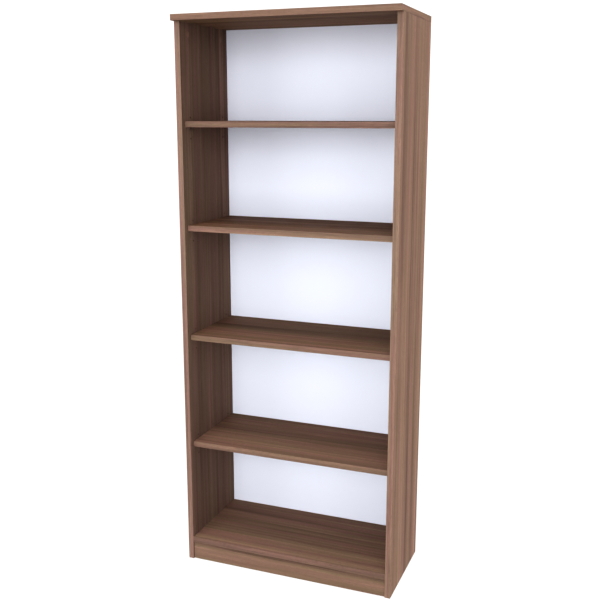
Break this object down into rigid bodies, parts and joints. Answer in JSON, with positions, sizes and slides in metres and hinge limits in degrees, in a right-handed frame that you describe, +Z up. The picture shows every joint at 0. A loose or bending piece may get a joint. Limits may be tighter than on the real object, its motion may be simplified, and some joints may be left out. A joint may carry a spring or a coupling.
{
  "type": "bookcase with adjustable shelves",
  "caption": "Tall, narrow, open bookcase with walnut-look boards, a white back, a forward-reaching top, a plinth and loose shelves that lie on pins and can be set higher or lower.",
  "frame": {"origin": "on the floor, at the centre of the overall width and depth", "axes": "+Z up, the open front faces -Y, +X to the right of a person facing the front"},
  "size_m": [0.7, 0.34, 1.776],
  "materials": {
    "side_boards": "walnut melamine, grain upright",
    "top_board": "walnut melamine, grain across",
    "base_board": "walnut melamine, grain across",
    "plinth_board": "walnut melamine, grain across",
    "shelf_boards": "walnut melamine, grain across",
    "side_edging": "satin wood print",
    "top_edging": "satin wood print",
    "base_edging": "satin wood print",
    "shelf_edging": "satin wood print",
    "back": "white lacquered hardboard",
    "pin_plastic": "moulded",
    "caps": "moulded, printed like the boards",
    "zinc": "die-cast zinc",
    "steel": "zinc plated",
    "bracket_steel": "zinc plated sheet",
    "beech": "plain turned wood"
  },
  "bodies": {
    "carcass": {"left_side_panel": "side_boards", "right_side_panel": "side_boards", "top_panel": "top_board", "base_shelf": "base_board", "plinth": "plinth_board", "back_panel": "back", "left_side_edging": "side_edging", "right_side_edging": "side_edging", "top_front_edging": "top_edging", "top_end_edgings": "top_edging", "base_shelf_edging": "base_edging", "top_cams": "zinc", "base_cams": "zinc", "plinth_cams": "zinc", "top_cam_bolts": "steel", "base_cam_bolts": "steel", "plinth_cam_bolts": "steel", "cam_caps": "caps", "top_dowels": "beech", "base_dowels": "beech", "plinth_end_dowels": "beech", "plinth_top_dowels": "beech", "back_nails": "steel", "wall_bracket": "bracket_steel", "bracket_screws": "steel"},
    "shelf_1": {"shelf_1": "shelf_boards", "shelf_1_edging": "shelf_edging"},
    "shelf_2": {"shelf_2": "shelf_boards", "shelf_2_edging": "shelf_edging"},
    "shelf_3": {"shelf_3": "shelf_boards", "shelf_3_edging": "shelf_edging"},
    "shelf_4": {"shelf_4": "shelf_boards", "shelf_4_edging": "shelf_edging"},
    "shelf_1_pin_left_front": {"shelf_1_pin_left_front": "pin_plastic"},
    "shelf_1_pin_left_rear": {"shelf_1_pin_left_rear": "pin_plastic"},
    "shelf_1_pin_right_front": {"shelf_1_pin_right_front": "pin_plastic"},
    "shelf_1_pin_right_rear": {"shelf_1_pin_right_rear": "pin_plastic"},
    "shelf_2_pin_left_front": {"shelf_2_pin_left_front": "pin_plastic"},
    "shelf_2_pin_left_rear": {"shelf_2_pin_left_rear": "pin_plastic"},
    "shelf_2_pin_right_front": {"shelf_2_pin_right_front": "pin_plastic"},
    "shelf_2_pin_right_rear": {"shelf_2_pin_right_rear": "pin_plastic"},
    "shelf_3_pin_left_front": {"shelf_3_pin_left_front": "pin_plastic"},
    "shelf_3_pin_left_rear": {"shelf_3_pin_left_rear": "pin_plastic"},
    "shelf_3_pin_right_front": {"shelf_3_pin_right_front": "pin_plastic"},
    "shelf_3_pin_right_rear": {"shelf_3_pin_right_rear": "pin_plastic"},
    "shelf_4_pin_left_front": {"shelf_4_pin_left_front": "pin_plastic"},
    "shelf_4_pin_left_rear": {"shelf_4_pin_left_rear": "pin_plastic"},
    "shelf_4_pin_right_front": {"shelf_4_pin_right_front": "pin_plastic"},
    "shelf_4_pin_right_rear": {"shelf_4_pin_right_rear": "pin_plastic"}
  },
  "joints": [
    {"name": "lift_shelf_1", "type": "slide", "parent": "carcass", "child": "shelf_1", "axis": [0, 0, 1], "range_m": [0, 0.245]},
    {"name": "lift_shelf_2", "type": "slide", "parent": "carcass", "child": "shelf_2", "axis": [0, 0, 1], "range_m": [0, 0.292]},
    {"name": "lift_shelf_3", "type": "slide", "parent": "carcass", "child": "shelf_3", "axis": [0, 0, 1], "range_m": [0, 0.325]},
    {"name": "lift_shelf_4", "type": "slide", "parent": "carcass", "child": "shelf_4", "axis": [0, 0, 1], "range_m": [0, 0.335]},
    {"name": "pull_shelf_1_pin_left_front", "type": "slide", "parent": "carcass", "child": "shelf_1_pin_left_front", "axis": [1, 0, 0], "range_m": [0, 0.012]},
    {"name": "pull_shelf_1_pin_left_rear", "type": "slide", "parent": "carcass", "child": "shelf_1_pin_left_rear", "axis": [1, 0, 0], "range_m": [0, 0.012]},
    {"name": "pull_shelf_1_pin_right_front", "type": "slide", "parent": "carcass", "child": "shelf_1_pin_right_front", "axis": [-1, 0, 0], "range_m": [0, 0.012]},
    {"name": "pull_shelf_1_pin_right_rear", "type": "slide", "parent": "carcass", "child": "shelf_1_pin_right_rear", "axis": [-1, 0, 0], "range_m": [0, 0.012]},
    {"name": "pull_shelf_2_pin_left_front", "type": "slide", "parent": "carcass", "child": "shelf_2_pin_left_front", "axis": [1, 0, 0], "range_m": [0, 0.012]},
    {"name": "pull_shelf_2_pin_left_rear", "type": "slide", "parent": "carcass", "child": "shelf_2_pin_left_rear", "axis": [1, 0, 0], "range_m": [0, 0.012]},
    {"name": "pull_shelf_2_pin_right_front", "type": "slide", "parent": "carcass", "child": "shelf_2_pin_right_front", "axis": [-1, 0, 0], "range_m": [0, 0.012]},
    {"name": "pull_shelf_2_pin_right_rear", "type": "slide", "parent": "carcass", "child": "shelf_2_pin_right_rear", "axis": [-1, 0, 0], "range_m": [0, 0.012]},
    {"name": "pull_shelf_3_pin_left_front", "type": "slide", "parent": "carcass", "child": "shelf_3_pin_left_front", "axis": [1, 0, 0], "range_m": [0, 0.012]},
    {"name": "pull_shelf_3_pin_left_rear", "type": "slide", "parent": "carcass", "child": "shelf_3_pin_left_rear", "axis": [1, 0, 0], "range_m": [0, 0.012]},
    {"name": "pull_shelf_3_pin_right_front", "type": "slide", "parent": "carcass", "child": "shelf_3_pin_right_front", "axis": [-1, 0, 0], "range_m": [0, 0.012]},
    {"name": "pull_shelf_3_pin_right_rear", "type": "slide", "parent": "carcass", "child": "shelf_3_pin_right_rear", "axis": [-1, 0, 0], "range_m": [0, 0.012]},
    {"name": "pull_shelf_4_pin_left_front", "type": "slide", "parent": "carcass", "child": "shelf_4_pin_left_front", "axis": [1, 0, 0], "range_m": [0, 0.012]},
    {"name": "pull_shelf_4_pin_left_rear", "type": "slide", "parent": "carcass", "child": "shelf_4_pin_left_rear", "axis": [1, 0, 0], "range_m": [0, 0.012]},
    {"name": "pull_shelf_4_pin_right_front", "type": "slide", "parent": "carcass", "child": "shelf_4_pin_right_front", "axis": [-1, 0, 0], "range_m": [0, 0.012]},
    {"name": "pull_shelf_4_pin_right_rear", "type": "slide", "parent": "carcass", "child": "shelf_4_pin_right_rear", "axis": [-1, 0, 0], "range_m": [0, 0.012]}
  ]
}
